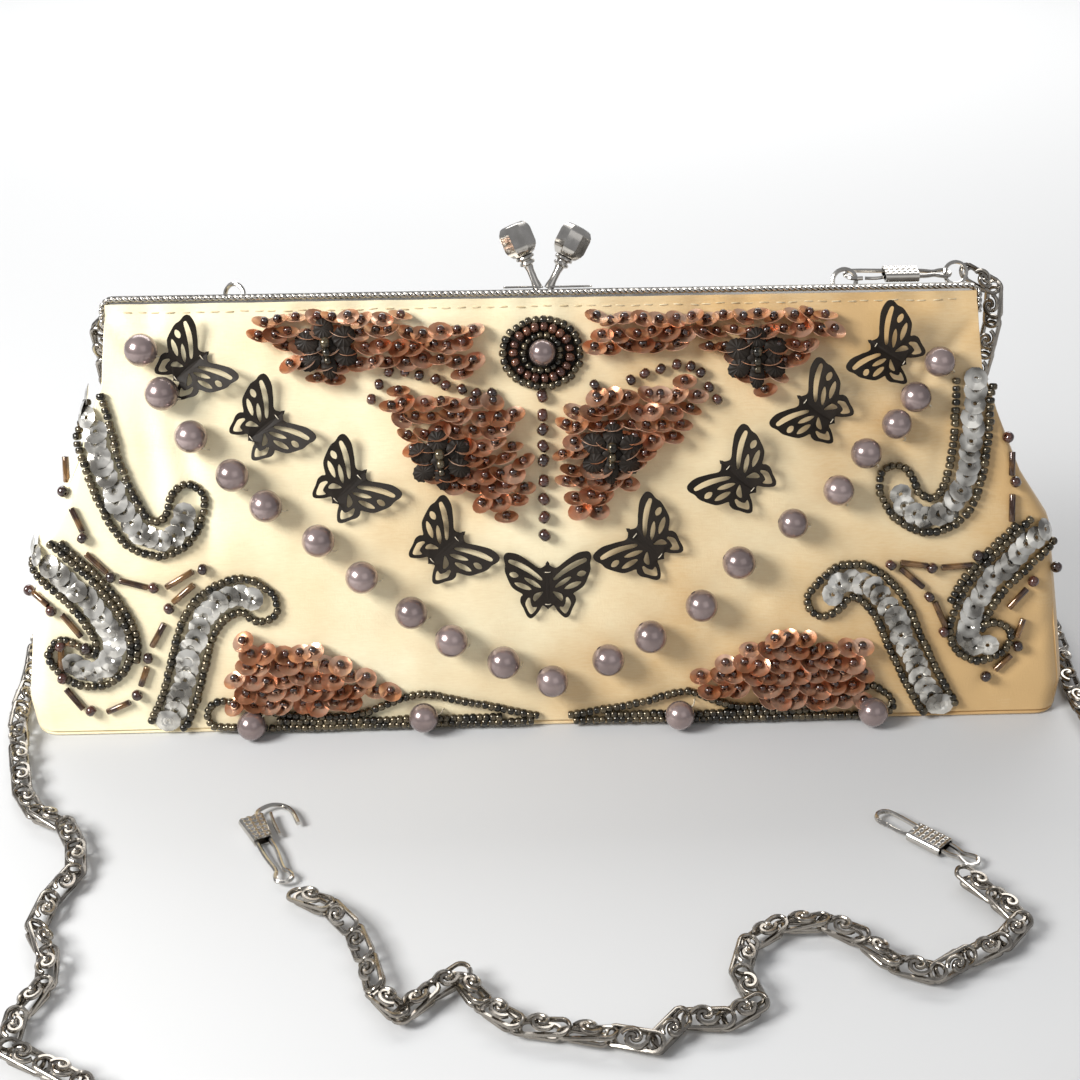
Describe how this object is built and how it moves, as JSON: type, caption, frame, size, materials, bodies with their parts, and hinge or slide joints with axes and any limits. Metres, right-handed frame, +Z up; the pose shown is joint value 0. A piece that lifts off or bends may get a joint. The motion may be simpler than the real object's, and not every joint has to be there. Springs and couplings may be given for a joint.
{
  "type": "evening bag",
  "caption": "Small kiss-lock evening bag: gusseted satin body with beaded front, hinged metal frame, clip-on shoulder chain and a loose short chain.",
  "frame": {"origin": "centre of the bag's base, on the surface it stands on", "axes": "+X to the bag's right seen from the front, +Y from the front to the back, +Z up"},
  "size_m": [0.2887, 0.2337, 0.1212],
  "materials": {
    "satin": "warm champagne-gold satin with a fine slub weave",
    "lining": "thin satin lining",
    "board": "stiff base board",
    "nickel": "polished nickel-silver plated metal",
    "chain": "nickel-plated wire links with darkened hollows",
    "jet": "black-coated stamped metal and gunmetal glass beads",
    "pearl": "mauve-taupe imitation pearl"
  },
  "bodies": {
    "bag_body": {"back_panel": "satin", "base_board": "board", "base_panel": "satin", "butterfly_1": "jet", "butterfly_2": "jet", "butterfly_3": "jet", "butterfly_4": "jet", "butterfly_5": "jet", "butterfly_6": "jet", "butterfly_7": "jet", "butterfly_8": "jet", "butterfly_9": "jet", "flower_1": "jet", "flower_2": "jet", "flower_3": "jet", "flower_4": "jet", "front_frame_rail": "nickel", "front_knob": "nickel", "front_panel": "satin", "front_rope_edge": "nickel", "hinge_rivet_left": "nickel", "hinge_rivet_right": "nickel", "left_gusset": "satin", "lining": "lining", "right_gusset": "satin", "rosette_pearl": "pearl", "rosette_ring": "jet", "shoulder_chain": "chain", "table_clip_left_hook": "nickel", "table_clip_left_sleeve": "nickel", "table_clip_right_hook": "nickel", "table_clip_right_sleeve": "nickel", "wrist_chain": "chain"},
    "back_frame": {"back_frame_rail": "nickel", "back_knob": "nickel", "back_rope_edge": "nickel", "back_top_panel": "satin", "bail_left": "nickel", "bail_right": "nickel", "chain_ring_left": "nickel", "chain_ring_right": "nickel", "frame_clip_left_hook": "nickel", "frame_clip_left_sleeve": "nickel", "frame_clip_right_hook": "nickel", "frame_clip_right_sleeve": "nickel"},
    "gate_right": {"frame_clip_right_gate": "nickel"},
    "gate_left": {"frame_clip_left_gate": "nickel"},
    "table_gate_right": {"table_clip_right_gate": "nickel"},
    "table_gate_left": {"table_clip_left_gate": "nickel"}
  },
  "joints": [
    {"name": "frame_hinge", "type": "hinge", "parent": "bag_body", "child": "back_frame", "pos_m": [0, 0.0096, 0.0865], "axis": [-1, 0, 0], "range_deg": [0, 75]},
    {"name": "clip_gate_right", "type": "hinge", "parent": "back_frame", "child": "gate_right", "pos_m": [0.0894, 0.02059, 0.10416], "axis": [0, 0.0894, -0.996], "range_deg": [0, 12], "stiffness_Nm_per_rad": 0.0004},
    {"name": "clip_gate_left", "type": "hinge", "parent": "back_frame", "child": "gate_left", "pos_m": [-0.0869, 0.02121, 0.09623], "axis": [0, -0.9403, 0.3404], "range_deg": [0, 12], "stiffness_Nm_per_rad": 0.0004},
    {"name": "table_gate_right", "type": "hinge", "parent": "bag_body", "child": "table_gate_right", "pos_m": [0.08384, -0.07671, 0.0016], "axis": [0, 0, -1], "range_deg": [0, 12], "stiffness_Nm_per_rad": 0.0004},
    {"name": "table_gate_left", "type": "hinge", "parent": "bag_body", "child": "table_gate_left", "pos_m": [-0.06468, -0.06981, 0.0016], "axis": [0, 0, -1], "range_deg": [0, 8], "stiffness_Nm_per_rad": 0.0004}
  ]
}
